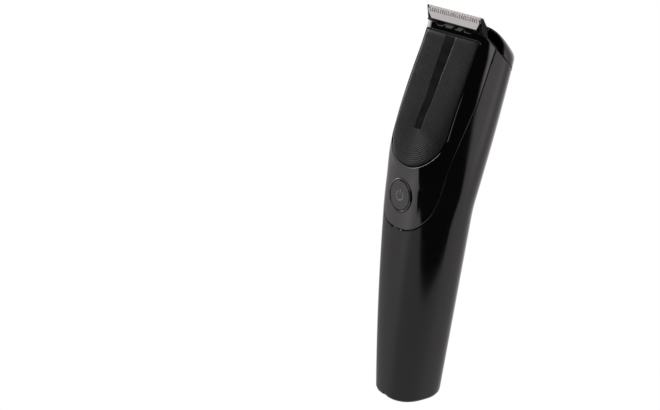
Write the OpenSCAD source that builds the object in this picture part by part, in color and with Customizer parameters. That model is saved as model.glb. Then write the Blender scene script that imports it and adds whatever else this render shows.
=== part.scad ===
// Cordless hair clipper that stands on its flat base. Millimetres, +Z up, -Y is the front.
// The origin is the centre of the base. The upper half leans back, and carries the blade head.

/* [Body] */
// Height of the handle at its front top edge
body_h = 161.7; // [145:0.1:195]
// Width of the handle at its base
base_w = 24.4; // [20.3:0.1:30]
// Width of the handle at its front top edge
top_w = 36.1; // [35:0.1:44]
// Depth of the handle at its base
base_d = 27; // [25:0.1:33]
// Level depth of the leaning upper half where it is thickest
head_d = 30; // [29:0.1:36]
// Lean of the upper half from upright, degrees
head_tilt = 19.85; // [16:0.05:22]
// Height at which the front bends from upright to leaning
bend_z = 106; // [102:0.5:110]
// Bow of the lower front
belly = 1.2; // [0:0.1:2]
// Slope of the mouth where the blade head meets the handle, degrees
mouth_slope = 20.3; // [18:0.1:23]
// Wall thickness of the housing and the front cover
wall = 2; // [1.6:0.1:2.4]
// Height of the lowest point of the front cover's seam
seam_z = 78.2; // [76:0.1:82]

/* [Front panel] */
// Width of the ribbed front panel
panel_w = 32.9; // [28:0.1:33]
// Glossy band above the panel
panel_band = 3.6; // [3:0.1:6]
// Length of the panel's straight sides
panel_l = 39.8; // [34:0.1:41]
// Thickness of the panel
panel_t = 1; // [0.8:0.1:1.2]

/* [Power button] */
// Height of the button's centre
button_z = 92.2; // [90:0.1:94]
// Diameter of the button's bezel
bezel_d = 14.3; // [13:0.1:16]
// Diameter of the button's cap
button_d = 12.4; // [10:0.1:12.6]
// Travel of the button
button_travel = 0.5; // [0.3:0.05:0.8]

/* [Blade] */
// Width of the toothed edge
blade_w = 32; // [28:0.1:33]
// Number of teeth on the fixed comb blade
comb_teeth = 19; // [12:1:24]
// Number of teeth on the moving cutter blade
cutter_teeth = 24; // [16:1:32]
// Forward lean of the blades from the head's own axis, degrees
blade_lean = 29.5; // [25:0.5:33]
// Half of the cutter's stroke
cutter_throw = 0.8; // [0.5:0.05:1]

/* [Motor] */
// Diameter of the motor
motor_d = 20.4; // [17:0.1:22]
// Length of the motor's can
motor_l = 25; // [20:0.5:30]
// Diameter of the motor's shaft
shaft_d = 2; // [1.6:0.1:2.4]
// Radial clearance of the shaft in its bearings
shaft_gap = 0.03; // [0.02:0.01:0.06]

/* [Battery and charging] */
// Diameter of the battery cell
cell_d = 18.2; // [14:0.1:18.4]
// Length of the battery cell
cell_l = 49.5; // [42:0.5:51]
// Bore of the charging socket
socket_d = 5.5; // [4:0.1:6]
// Diameter of the socket's centre pin
socket_pin_d = 1.7; // [1.3:0.1:2]

/* [Hidden] */
$fn = 48;

// Colours
black_gloss = [0.05, 0.05, 0.055];
black_satin = [0.10, 0.10, 0.105];
black_matte = [0.16, 0.16, 0.16];
steel = [0.78, 0.77, 0.74];
board_green = [0.06, 0.30, 0.16];

// Shape of the body's sections
belly_z = 49;
back_slope = 0.05;
back_z = body_h - 13.2;
back_lean = 0.2;
back_curve = 0.00062;
flare = 0.089;
flare_ease = 0.00009;
top_taper = 0.035;
hood_rise = 2.9;
hood_back = 0.5;
hood_round = 7.2;
bend_soft = 2.5;
square_low = 2.6;
square_front = 8;
base_round = 1.5;
base_round_back = 3;
ring_n = 40;
floor_t = 2.2;

function smax(a, b, k) = max(a, b) + pow(max(k - abs(a - b), 0), 2) / (4 * k);
function smin(a, b, k) = -smax(-a, -b, k);
function ease(t) = let (u = min(max(t, 0), 1)) u * u * (3 - 2 * u);
function front_low(z) = -base_d / 2 - belly + belly * pow((z - belly_z) / belly_z, 2);
function front_up(z) = front_low(bend_z) + (z - bend_z) * tan(head_tilt);
function front_y(z) = smax(front_low(z), front_up(z), bend_soft);
function back_low(z) = base_d / 2 + back_slope * z;
function back_up(z) = front_up(back_z) + head_d - back_lean * (back_z - z)
    - back_curve * pow(back_z - z, 2);
function body_back(z) = smax(back_low(z), back_up(z), 1);
function hood_y(z) = front_up(body_h) - hood_back
    + hood_round * sqrt(max(body_h + hood_rise - z, 0));
function back_y(z, inset) = smin(body_back(z) - inset, hood_y(z + inset), bend_soft);
function half_w(z) = smin(base_w / 2 + flare * z - flare_ease * z * z,
    top_w / 2 + top_taper * (body_h - z), 2);
function squareness(z) = square_low
    + (square_front - square_low) * ease((z - bend_z + 21) / 30);
function round_in(z, r) = z < r ? r - sqrt(r * r - pow(r - z, 2)) : 0;
function power(v, n) = sign(v) * pow(abs(v), 2 / n);

// One level section of the body, drawn in by inset
function ring(z, inset) = let (
    a = half_w(z) - inset - round_in(z, base_round),
    f = front_y(z) + inset + round_in(z, base_round),
    b = back_y(z, inset) - round_in(z, base_round_back))
    [for (i = [0 : ring_n - 1]) let (
        t = 360 * i / ring_n,
        n = sin(t) < 0 ? squareness(z) : square_low)
        [a * power(cos(t), n), (f + b) / 2 + (b - f) / 2 * power(sin(t), n), z]];

// Highest level at which a section drawn in by inset is still open
function top_level(inset) = body_h + hood_rise - inset - 0.6;

// Heights of the sections: closer together where the body bends or ends
level_all = [0, 0.5, base_round, base_round_back, 15, 32, 50, 68, 80, 86, 92, 97, 102, 107, 112, 120];
level_top = [for (d = [26, 16, 11, 8, 5.5, 3.2, 1.2, -0.6, -1.9, -2.6]) body_h - d];
function levels(z0, z1) = concat([z0],
    [for (z = concat(level_all, level_top)) if (z > z0 + 0.3 && z < z1 - 0.3) z], [z1]);

module loft(rings) {
    n = len(rings[0]);
    m = len(rings);
    polyhedron(
        points = [for (r = rings) each r],
        faces = concat(
            [[for (i = [n - 1 : -1 : 0]) n * (m - 1) + i]],
            [[for (i = [0 : n - 1]) i]],
            [for (k = [0 : m - 2], i = [0 : n - 1])
                [k * n + i, (k + 1) * n + i, (k + 1) * n + (i + 1) % n]],
            [for (k = [0 : m - 2], i = [0 : n - 1])
                [k * n + i, (k + 1) * n + (i + 1) % n, k * n + (i + 1) % n]]));
}

module body_solid(inset, z0, z1) {
    loft([for (z = levels(z0, z1)) ring(z, inset)]);
}

// Frames: the head's own frame starts at the front top edge, with +Z along the lean and +Y inwards
top_y = front_up(body_h);
module at_head() {
    translate([0, top_y, body_h]) rotate([-head_tilt, 0, 0]) children();
}
module at_mouth() {
    at_head() rotate([-mouth_slope, 0, 0]) children();
}
base_y = -1.1;
base_z = 1;
module at_blade() {
    at_head() translate([0, base_y, base_z]) rotate([blade_lean, 0, 0]) children();
}
button_lean = atan((front_y(button_z + 1) - front_y(button_z - 1)) / 2);
// The button's frame: +Z points out of the front
module at_button() {
    translate([0, front_y(button_z), button_z]) rotate([90 - button_lean, 0, 0]) children();
}

// Centred block: x is its full width, y and z are its ranges
module block(w, y, z) {
    translate([-w / 2, y[0], z[0]]) cube([w, y[1] - y[0], z[1] - z[0]]);
}
module pair(x) {
    for (s = [-1, 1]) translate([s * x, 0, 0]) children();
}
module mirrored() {
    children();
    mirror([1, 0, 0]) children();
}
// Outline in Y and Z, spread over a range of X
module side_extrude(x0, x1, points) {
    translate([x0, 0, 0]) rotate([90, 0, 90]) linear_extrude(x1 - x0) polygon(points);
}
module tube(r_out, r_in, z0, z1) {
    translate([0, 0, z0]) difference() {
        cylinder(r = r_out, h = z1 - z0);
        translate([0, 0, -1]) cylinder(r = r_in, h = z1 - z0 + 2);
    }
}
module rod(r, z0, z1) {
    translate([0, 0, z0]) cylinder(r = r, h = z1 - z0);
}

// Seam between the front cover and the rear housing, as shares of the height and of the depth
seam_shape = [[0, 0], [0.05, 0.07], [0.12, 0.15], [0.24, 0.2], [0.45, 0.225], [0.58, 0.265],
    [0.7, 0.3], [1.1, 0.32]];
function seam_point(p) = let (z = seam_z + p[0] * (body_h - seam_z))
    [front_y(z) + p[1] * (body_back(z) - front_y(z)), z];
module seam_region(gap) {
    pts = [for (p = seam_shape) seam_point(p) + [gap, -gap]];
    side_extrude(-40, 40, concat([[-40, seam_z - gap]], pts, [[-40, pts[len(pts) - 1][1]]]));
}
seam_gap = 0.12;
mouth_gap = 0.1;
module above_mouth(z0) {
    at_mouth() translate([-50, -60, z0]) cube([100, 160, 60]);
}

// Front panel outline, spread through the front
panel_gap = 0.25;
module panel_prism(grow) {
    r = panel_w / 2 + grow;
    at_head() translate([0, 8, 0]) rotate([90, 0, 0]) linear_extrude(16) {
        translate([0, -panel_band - panel_l]) circle(r);
        translate([-r, -panel_band - panel_l]) square([2 * r, panel_l + grow]);
    }
}

// Rear grip outline
grip_z0 = 91;
grip_z1 = body_h - 25;
grip_w0 = 24.6;
grip_w1 = 30;
grip_t = 0.9;
grip_sink = 0.3;
function middle_y(z) = (front_y(z) + body_back(z)) / 2;
module behind_middle(z0, z1) {
    side_extrude(-40, 40, concat([for (z = [z0, bend_z, z1]) [middle_y(z), z]],
        [[middle_y(z1) + 60, z1], [middle_y(z1) + 60, z0]]));
}
module grip_prism(grow) {
    r = grip_w0 / 2 + grow;
    zc = grip_z0 + grip_w0 / 2;
    intersection() {
        translate([0, middle_y(grip_z1) + 50, 0]) rotate([90, 0, 0]) linear_extrude(100) {
            translate([0, zc]) circle(r);
            polygon([[-r, zc], [r, zc], [grip_w1 / 2 + grow, grip_z1 + grow],
                [-grip_w1 / 2 - grow, grip_z1 + grow]]);
        }
        behind_middle(grip_z0 - 5, grip_z1 + 5);
    }
}

// Case screws run from under the rear grip into the front cover
case_x = 9.8;
case_z = 102;
boss_r = 2.6;
screw_r = 1.1;
screw_head_r = 2;
ear_t = 1.8;
case_head_y = 9;
module at_case_screws() {
    pair(case_x) translate([0, 0, case_z]) rotate([-90, 0, 0]) children();
}

// Lengths along the head's axis, from the front top edge
axis_y = 15;
motor_top = -18.6;
motor_z0 = motor_top - motor_l;
cap_t = 4;
terminal_x = 6.5;
bracket_screw_y = 6.4;
bracket_t = 1.8;
cam_r = 4.4;
cam_z = [-15.6, -11.6];
pin_r = 1;
pin_top = -1.8;
cross_z = motor_z0 - cap_t - 4;
module at_motor() {
    at_head() translate([0, axis_y, 0]) children();
}

module rear_housing() {
    color(black_satin) difference() {
        body_solid(0, 0, body_h + hood_rise - 0.15);
        difference() {
            body_solid(wall, floor_t, top_level(wall));
            at_case_screws() rod(boss_r, ear_t / 2 + 0.2, 30);
        }
        seam_region(seam_gap);
        above_mouth(-mouth_gap);
        difference() {
            grip_prism(panel_gap);
            body_solid(grip_sink + grip_t + 0.1, grip_z0 - 8, grip_z1 + 8);
        }
        at_case_screws() rod(screw_r + 0.1, -5, 40);
        at_case_screws() rod(screw_head_r + 0.2, case_head_y, 40);
        rod(socket_d / 2 + 1.2, -1, floor_t + 1);
    }
}

module front_cover() {
    z0 = seam_z - 6;
    color(black_gloss) difference() {
        intersection() {
            difference() {
                body_solid(0, z0, body_h + 1);
                difference() {
                    body_solid(wall, z0 - 1, top_level(wall));
                    at_case_screws() rod(boss_r, -30, -ear_t / 2 - 0.2);
                }
            }
            seam_region(0);
        }
        above_mouth(-mouth_gap);
        difference() {
            panel_prism(panel_gap);
            body_solid(grip_sink + panel_t + 0.1, bend_z - 30, top_level(grip_sink + panel_t + 0.1));
        }
        at_button() rod(bezel_d / 2, -8, 8);
        at_case_screws() rod(screw_r - 0.15, -9, 5);
    }
}

module front_panel() {
    color(black_matte) intersection() {
        difference() {
            body_solid(grip_sink, bend_z - 12, body_h + 0.5);
            body_solid(grip_sink + panel_t, bend_z - 13, top_level(grip_sink + panel_t));
        }
        panel_prism(0);
    }
}

module rear_grip() {
    color(black_matte) intersection() {
        difference() {
            body_solid(grip_sink, grip_z0 - 3, grip_z1 + 3);
            body_solid(grip_sink + grip_t, grip_z0 - 4, grip_z1 + 4);
        }
        grip_prism(0);
    }
}

// Button: cap, retaining flange and stem; the generic power sign stands proud of the cap
bezel_t = 2.4;
cap_proud = 0.3;
cap_depth = 1.8;
flange_t = 0.8;
stem_r = 1.8;
stem_end = -3.6;
sign_r = 2.4;
sign_line = 0.55;
module power_sign() {
    h = 0.25;
    translate([0, 0, cap_proud - 0.05]) {
        rotate([0, 0, 120]) rotate_extrude(angle = 300)
            translate([sign_r - sign_line / 2, 0]) square([sign_line, h + 0.05]);
        translate([-sign_line / 2, 0.9, 0]) cube([sign_line, sign_r - 0.3, h + 0.05]);
    }
}
module power_button() {
    color(black_satin) at_button() {
        rod(button_d / 2, -cap_depth, cap_proud);
        rod(button_d / 2 + 0.6, -bezel_t - flange_t - 0.3, -bezel_t - 0.3);
        rod(button_d / 2 - 0.6, -bezel_t - 0.4, -cap_depth + 0.1);
        rod(stem_r, stem_end, -bezel_t - flange_t);
        power_sign();
    }
}
module button_bezel() {
    color(black_gloss) at_button() tube(bezel_d / 2 - 0.02, button_d / 2 + 0.2, -bezel_t, 0.35);
}

// Switch and board behind the button
plunger_r = 1.6;
plunger_l = 1.1;
switch_w = 6.2;
switch_t = 2.9;
board_t = 1.2;
board_gap = 0.1;
switch_front = stem_end - 0.05 - plunger_l;
board_front = switch_front - switch_t - board_gap;
board_z = [-26, 7.5];
board_w = 15;
module switch_plunger() {
    color("#d8d0b8") at_button()
        rod(plunger_r, switch_front - 0.9, switch_front + plunger_l);
}
module tact_switch() {
    color("#30302f") at_button() difference() {
        translate([-switch_w / 2, -switch_w / 2, switch_front - switch_t])
            cube([switch_w, switch_w, switch_t]);
        rod(plunger_r + 0.08, switch_front - 0.9 - button_travel - 0.1, switch_front + 1);
    }
}
// Chassis screws hold the board, one at each end
chassis_screw_at = [[5, -23.5], [-5.2, 4.8]];
module at_chassis_screws() {
    at_button() for (p = chassis_screw_at) translate([p[0], p[1], board_front]) children();
}
module circuit_board() {
    color(board_green) at_button() difference() {
        translate([-board_w / 2, board_z[0], board_front - board_t])
            cube([board_w, board_z[1] - board_z[0], board_t]);
        for (p = chassis_screw_at) translate([p[0], p[1], 0])
            rod(1.1, board_front - board_t - 1, board_front + 1);
    }
}
module board_components() {
    color("#202020") at_button() translate([0, 0, board_front]) {
        translate([-3.5, -12, 0.02]) cube([7, 5, 1]);
        translate([-6, -17.5, 0.02]) cube([3.2, 1.6, 0.7]);
        translate([1, -17.5, 0.02]) cube([1.6, 0.8, 0.6]);
        translate([4, -14.5, 0.02]) cube([2.9, 2.4, 1.1]);
        translate([-2.5, -21.5, 0.02]) cube([3, 3, 0.9]);
        translate([-5.6, -9.5, 0.02]) cube([1.2, 2, 0.6]);
        translate([4.6, -8.4, 0.02]) cube([1.2, 2, 0.6]);
    }
}
module chassis_screws() {
    color(steel) at_chassis_screws() {
        rod(0.9, -board_t - 5, 0.1);
        difference() {
            rod(1.9, 0.02, 1.3);
            translate([-0.3, -2.5, 0.8]) cube([0.6, 5, 1]);
        }
    }
}

// Battery stands in the lower handle
cell_z = 13;
cell_y = front_y(cell_z) + wall + 0.5 + cell_d / 2;
spine_y = cell_y + cell_d / 2 + 0.4;
spine_t = 1.3;
spine_w = 10.6;
module battery_cell() {
    color("#2b6f9e") translate([0, cell_y, 0]) {
        rod(cell_d / 2, cell_z, cell_z + cell_l - 0.8);
        rod(cell_d / 2 - 2, cell_z + cell_l - 0.9, cell_z + cell_l);
    }
}
tab_x = cell_d / 2 - 1.7;
module battery_tabs() {
    color(steel) translate([0, cell_y, 0]) {
        block(6, [-6, 6], [cell_z - 0.3, cell_z - 0.02]);
        translate([0, -1.5, cell_z - 0.3]) cube([tab_x + 0.6, 3, 0.28]);
        block(5, [-7, 4], [cell_z + cell_l + 0.02, cell_z + cell_l + 0.3]);
    }
}

// Chassis: spine behind the cell, foot, two board posts, clamped ears and the motor's side rails
post_l = spine_y + spine_t - front_y(button_z) + board_front + 0.5;
rail_t = 1.6;
rail_x = motor_d / 2 + rail_t + 0.2;
ear_r = 3.4;
// The neck under the motor runs down the head's axis to the level of the ears
neck_z = (case_z + 0.45 - body_h + axis_y * sin(head_tilt)) / cos(head_tilt);
module chassis() {
    foot_z = cell_z - 1.7;
    color(black_matte) difference() {
        union() {
            block(spine_w, [spine_y, spine_y + spine_t], [foot_z, case_z + 2]);
            block(spine_w, [-5, spine_y + spine_t], [foot_z, foot_z + 1.2]);
            at_chassis_screws() rod(2.3, -post_l, -board_t - 0.02);
            block(spine_w, [-ear_t / 2, spine_y + spine_t], [case_z - 3, case_z + 2]);
            block(2 * case_x, [-ear_t / 2, ear_t / 2], [case_z - 2, case_z + 2]);
            at_case_screws() rod(ear_r, -ear_t / 2, ear_t / 2);
            at_motor() block(2 * rail_x, [-8, 6], [cross_z, cross_z + 1.6]);
            at_motor() block(spine_w, [-4, -2], [neck_z, cross_z + 1]);
            block(spine_w, [-ear_t / 2, spine_y + spine_t], [case_z, case_z + 4.5]);
            at_motor() pair(rail_x - rail_t / 2)
                block(rail_t, [-6, 6], [cross_z, motor_top - 0.02]);
        }
        at_case_screws() rod(screw_r + 0.1, -5, 5);
        at_chassis_screws() rod(0.8, -board_t - 6, 1);
        at_motor() block(2 * terminal_x + 3, [-3, 3], [cross_z - 1, cross_z + 3]);
    }
}
module case_screws() {
    color(steel) at_case_screws() {
        rod(screw_r, -7, case_head_y + 0.1);
        difference() {
            rod(screw_head_r, case_head_y + 0.02, case_head_y + 1.6);
            translate([-0.35, -3, case_head_y + 1]) cube([0.7, 6, 1]);
        }
    }
}

// Charging socket in the base: a round jack with a centre pin
socket_l = 9;
socket_wall = 1.15;
module charge_socket() {
    color("#1c1c1c") difference() {
        union() {
            rod(socket_d / 2 + socket_wall, 0.3, socket_l + 1);
            rod(socket_d / 2 + socket_wall + 1, floor_t + 0.02, floor_t + 1.4);
        }
        rod(socket_d / 2, -1, socket_l);
        rod(socket_pin_d / 2, socket_l - 1, socket_l + 2);
    }
}
module socket_pin() {
    color(steel) {
        rod(socket_pin_d / 2, 1.4, socket_l + 1.2);
        translate([0, 0, 1.4]) sphere(r = socket_pin_d / 2);
    }
}

// Motor, along the head's axis
can_t = 0.8;
bush_r = 3;
module motor_can() {
    color(steel) at_motor() difference() {
        rod(motor_d / 2, motor_z0, motor_top);
        rod(motor_d / 2 - can_t, motor_z0 - 1, motor_top - can_t);
        rod(bush_r, motor_top - 2, motor_top + 1);
    }
}
magnet_t = 1.5;
armature_r = motor_d / 2 - can_t - magnet_t - 0.7;
module motor_magnets() {
    color("#3c3a3a") at_motor() difference() {
        tube(motor_d / 2 - can_t - 0.02, motor_d / 2 - can_t - magnet_t, motor_z0 + 4, motor_top - 4);
        block(5, [-20, 20], [motor_z0, motor_top]);
    }
}
module motor_end_cap() {
    color("#e9e6dc") at_motor() difference() {
        rod(motor_d / 2, motor_z0 - cap_t, motor_z0 - 0.02);
        rod(bush_r, motor_z0 - cap_t + 0.8, motor_z0 + 1);
        rod(shaft_d / 2 + 0.4, motor_z0 - cap_t - 1, motor_z0);
        pair(terminal_x) block(1.4, [-0.4, 0.4], [motor_z0 - cap_t - 1, motor_z0 + 1]);
    }
}
module motor_terminals() {
    color("#c9a24a") at_motor() pair(terminal_x)
        block(1.36, [-0.36, 0.36], [motor_z0 - cap_t - 2.6, motor_z0 - 0.3]);
}
module motor_bearings() {
    r_in = shaft_d / 2 + shaft_gap;
    color("#b98d3d") at_motor() {
        tube(bush_r, r_in, motor_top - can_t - 1.6, motor_top + 1);
        tube(bush_r, r_in, motor_z0 - cap_t + 0.82, motor_z0 - 0.4);
    }
}
module motor_armature() {
    color("#9a5a34") at_motor() difference() {
        union() {
            rod(armature_r - 0.8, motor_z0 + 5, motor_top - 5);
            rod(armature_r, motor_z0 + 7.5, motor_top - 7.5);
            rod(3, motor_z0 + 1, motor_z0 + 5.1);
        }
        rod(shaft_d / 2, motor_z0, motor_top);
        for (i = [0 : 2]) rotate([0, 0, 120 * i + 60])
            translate([armature_r - 2, -0.8, motor_z0 + 7]) cube([5, 1.6, motor_l]);
    }
}
module motor_shaft() {
    color(steel) at_motor() rod(shaft_d / 2, motor_z0 - cap_t + 0.3, cam_z[1]);
}
module eccentric_cam() {
    color("#e4e1d4") at_motor() difference() {
        rod(cam_r, cam_z[0], cam_z[1]);
        rod(shaft_d / 2, cam_z[0] - 1, cam_z[1] + 1);
        translate([0, cutter_throw + shaft_d, 0]) rod(pin_r * 0.6, cam_z[0] - 1, cam_z[0] + 1);
        translate([-10, cam_r - 1, cam_z[0] - 1]) cube([20, 10, 3]);
    }
}
// The drive pin has a flat round foot on the cam, and its upper part is off centre
module drive_pin() {
    color(steel) at_motor() {
        rod(cam_r - 1, cam_z[1] + 0.01, cam_z[1] + 1);
        translate([0, cutter_throw, 0]) rod(pin_r, cam_z[1] + 0.5, pin_top);
    }
}
module motor_bracket() {
    w = 2 * rail_x - 2 * rail_t - 0.2;
    color("#8f9296") at_motor() difference() {
        union() {
            block(w, [-9, 9], [motor_top + 0.02, motor_top + bracket_t]);
            pair(rail_x - rail_t / 2) block(rail_t + 2, [-6, 6], [motor_top + 0.02, motor_top + bracket_t]);
        }
        rod(bush_r + 0.1, motor_top - 1, motor_top + 5);
        for (s = [-1, 1]) translate([0, bracket_screw_y * s, 0]) rod(1.1, motor_top - 1, motor_top + 5);
    }
}
module bracket_screws() {
    color(steel) at_motor() for (s = [-1, 1]) translate([0, bracket_screw_y * s, 0]) {
        rod(1, motor_top + 0.05, motor_top + bracket_t + 0.05);
        rod(1.7, motor_top + bracket_t + 0.02, motor_top + bracket_t + 0.8);
    }
}

// Cover inside the mouth that keeps hair out of the handle
latch_x = 13;
latch_w = 1.3;
latch_y = [8, 13];
bump_r = 0.6;
module mouth_cover() {
    color("#2a2a2a") difference() {
        intersection() {
            body_solid(wall + 0.25, body_h - 32, top_level(wall + 0.25));
            at_mouth() translate([-40, 1, -3]) cube([80, 60, 1.4]);
        }
        at_motor() rod(3.2, -30, 10);
        at_head() pair(latch_x)
            block(latch_w + 2 * bump_r + 0.6, latch_y + [-0.5, 0.5], [-30, 10]);
    }
}

// Wires are swept tubes with eight sides
function unit(v) = v / norm(v);
function tangent(path, i) = unit(path[min(i + 1, len(path) - 1)] - path[max(i - 1, 0)]);
wire_r = 0.55;
module wire(path) {
    side = [0.9, 0.3, 0.1];
    loft([for (i = [0 : len(path) - 1]) let (
        t = tangent(path, i),
        u = unit(cross(t, side)),
        v = cross(t, u))
        [for (k = [0 : 7]) path[i] + wire_r * (cos(45 * k) * v - sin(45 * k) * u)]]);
}
// Back of the board, whose lean follows the button's, and where the wires meet it
function board_back(z) = front_y(button_z) - board_front + board_t
    - (button_z - z) * tan(button_lean);
function on_board(x, z) = [x, board_back(z) + wire_r + 0.1, z];
cell_top = cell_z + cell_l;
cell_side = cell_d / 2 + wire_r + 0.55;
join_z = cell_top + 6;
lead_z = button_z + chassis_screw_at[0][1] + 4;
module battery_leads() {
    color("#b3231f") wire([[0, -1, cell_top + 0.4], [0, -1, cell_top + 2], [2, -1.5, cell_top + 3],
        [1.5, -2.4, cell_top + 3.6], [1, -3.6, join_z - 1], on_board(0.8, join_z + 1)]);
    color("#222222") wire([[tab_x, cell_y, cell_z - 0.95], [cell_side - 0.6, cell_y, cell_z - 0.85],
        [cell_side, cell_y, cell_z + 1.5], [cell_side, 0, cell_z + 20], [cell_side, -1, cell_top + 0.5],
        [9.2, -2.5, cell_top + 6], [7.6, -4, lead_z - 0.5], on_board(5.6, lead_z + 1), on_board(5, lead_z + 3)]);
}
module charge_leads() {
    for (s = [0, 1]) let (y = -1.2 + 2.4 * s) color(s == 0 ? "#b3231f" : "#222222")
        wire([[-socket_d / 2 - socket_wall - 0.4, y, 7], [-6.5, y, 7.6], [0.6 - cell_side, y, cell_z - 1.5],
            [-cell_side, y, cell_z + 6], [-cell_side, y, cell_top + 0.5],
            [-7.8 + s, y - 2.6, cell_top + 3.5], on_board(-5.6 + 1.8 * s, join_z),
            on_board(-5.6 + 1.8 * s, join_z + 2)]);
}
function head_point(p) = [p[0],
    top_y + p[1] * cos(head_tilt) + p[2] * sin(head_tilt),
    body_h - p[1] * sin(head_tilt) + p[2] * cos(head_tilt)];
module motor_leads() {
    end_z = motor_z0 - cap_t - 2.7;
    for (s = [-1, 1]) color(s > 0 ? "#b3231f" : "#222222")
        wire([head_point([s * terminal_x, axis_y, end_z]), head_point([s * terminal_x, axis_y, end_z - 2]),
            head_point([s * 5.9, axis_y - 5, end_z - 4.6]), [s * 5, -2.8, case_z + 1.6],
            on_board(1.2 + 2.6 * s, button_z + 9), on_board(1.2 + 2.4 * s, button_z + 6)]);
}

// Blade head, drawn in the mouth's frame: its deck seals the mouth and carries both blades
hood_wall = 1.5;
deck_z = [mouth_gap, 1.2];
fork_z = [1.45, 2.35];
fork_w = 12;
cheek_w = 1;
module head_deck() {
    intersection() {
        body_solid(hood_wall + 0.25, body_h - 30, top_level(hood_wall + 0.25));
        at_mouth() translate([-40, -0.1, deck_z[0]]) cube([80, 60, deck_z[1] - deck_z[0]]);
    }
}
carrier = [[0.95, -0.9], [0.95, 2.25], [1.33, 2.25], [2.36, 0.12], [2.85, -2.4]];
module carrier_side() {
    at_blade() side_extrude(fork_w / 2 + 1.6, blade_w / 2 - 0.4, carrier);
    at_blade() side_extrude(blade_w / 2 + 0.35, blade_w / 2 + 0.35 + cheek_w,
        concat([[0.95, -0.9], [0.8, 4.6], [1, 4.7], [3, 0.45]], [carrier[4]]));
}
module head_base() {
    color(black_matte) difference() {
        union() {
            head_deck();
            mirrored() carrier_side();
            at_mouth() block(blade_w + 2 * cheek_w + 0.7, [-0.1, 3], deck_z);
            at_mouth() block(blade_w - 3, [-1.05, 0], [mouth_gap, 0.35]);
        }
        at_motor() block(6.4, [-3.4, 3.6], [-30, 30]);
        head_latches_shape();
        screw_bores(0.75);
    }
}
module head_latches_shape() {
    at_head() pair(latch_x) block(latch_w, latch_y, [-11, -2]);
}
module head_latches() {
    color(black_satin) intersection() {
        union() {
            head_latches_shape();
            at_head() mirrored() translate([latch_x, 0, 0])
                side_bump();
        }
        at_mouth() translate([-40, -40, -40]) cube([80, 90, 40 + deck_z[1]]);
    }
}
module side_bump() {
    translate([latch_w / 2 - 0.1, latch_y[0], -10]) rotate([-90, 0, 0])
        cylinder(r = bump_r, h = latch_y[1] - latch_y[0]);
}
notch_y = 2.4;
module head_hood() {
    color(black_satin) difference() {
        body_solid(0, body_h - 28, body_h + hood_rise - 0.15);
        body_solid(hood_wall, body_h - 29, top_level(hood_wall));
        at_mouth() translate([-50, -60, -60]) cube([100, 160, 60 + mouth_gap]);
        at_head() translate([-50, -40, -40]) cube([100, 40 + notch_y, 80]);
        // Openings in the sides, between the blades and the hood
        at_head() side_extrude(-50, 50, [[0, 2.2], [4.5, 2.4], [8.3, 1.6], [12.2, -0.8], [13.4, -4],
            [13.4, -12], [0, -12]]);
    }
}

// Blades, drawn in their own frame: +Z to the tips, +Y to the skin side
comb_profile = [[0.65, 4.85], [0.9, 4.9], [3.05, 0.5], [2.45, 0.15], [1.35, 2.35], [0.65, 2.35]];
comb_root = 2.9;
cutter_t = 0.6;
cutter_tip = 3.7;
cutter_root = 1.9;
cutter_base_w = 28;
module comb_blade() {
    pitch = blade_w / comb_teeth;
    color(steel) difference() {
        at_blade() side_extrude(-blade_w / 2, blade_w / 2, comb_profile);
        at_blade() for (i = [1 : comb_teeth - 1]) translate([-blade_w / 2 + pitch * i, 0, 0])
            block(pitch * 0.45, [-1, 4], [comb_root, 8]);
        screw_bores(0.85);
    }
}
module screw_bores(r) {
    at_comb_screws() rod(r, -1.9, 1);
}
// The comb's two screws stand square to its skin face
skin_lean = atan((3.05 - 0.9) / (4.9 - 0.5));
module at_comb_screws() {
    at_blade() pair(11) translate([0, 2.35, 1.9]) rotate([-90 + skin_lean, 0, 0]) children();
}
module blade_screws() {
    color(steel) at_comb_screws() {
        rod(0.75, -1.6, 0.1);
        rod(1.25, 0.02, 0.5);
    }
}
module cutter_blade() {
    pitch = (blade_w - 0.4) / cutter_teeth;
    color(steel) at_blade() difference() {
        rotate([90, 0, 0]) translate([0, 0, -cutter_t]) linear_extrude(cutter_t)
            polygon([[-cutter_base_w / 2, -0.3], [cutter_base_w / 2, -0.3],
                [blade_w / 2 - 0.2, cutter_tip - 1.4], [blade_w / 2 - 0.2, cutter_tip],
                [0.2 - blade_w / 2, cutter_tip], [0.2 - blade_w / 2, cutter_tip - 1.4]]);
        for (i = [1 : cutter_teeth - 1]) translate([0.2 - blade_w / 2 + pitch * i, 0, 0])
            block(pitch * 0.45, [-1, 2], [cutter_tip - 1.2, 8]);
    }
}
fork_slot = pin_r + 0.25;
module drive_fork() {
    color("#d9d6cb") difference() {
        union() {
            at_blade() block(fork_w, [cutter_t + 0.01, 1.2], [-0.3, 2.05]);
            at_mouth() block(fork_w - 4, [-1.15, 12], fork_z);
            at_mouth() block(fork_w - 2, [11, 18.5], [fork_z[0], 3.9]);
        }
        at_motor() block(2 * fork_slot, [-cutter_throw - pin_r - 0.4, cutter_throw + pin_r + 0.4], [-20, 20]);
    }
}
// Wire spring that presses the fork and its cutter towards the comb
module tension_spring() {
    color(steel) at_mouth() {
        for (s = [-1, 1]) translate([s * 6.6, 0, 0]) block(0.7, [3, 17], [1.25, 1.95]);
        block(13.9, [16.9, 17.6], [4.1, 4.8]);
        for (s = [-1, 1]) translate([s * 6.6, 0, 0]) block(0.7, [16.9, 17.6], [1.25, 4.8]);
    }
}

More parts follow.
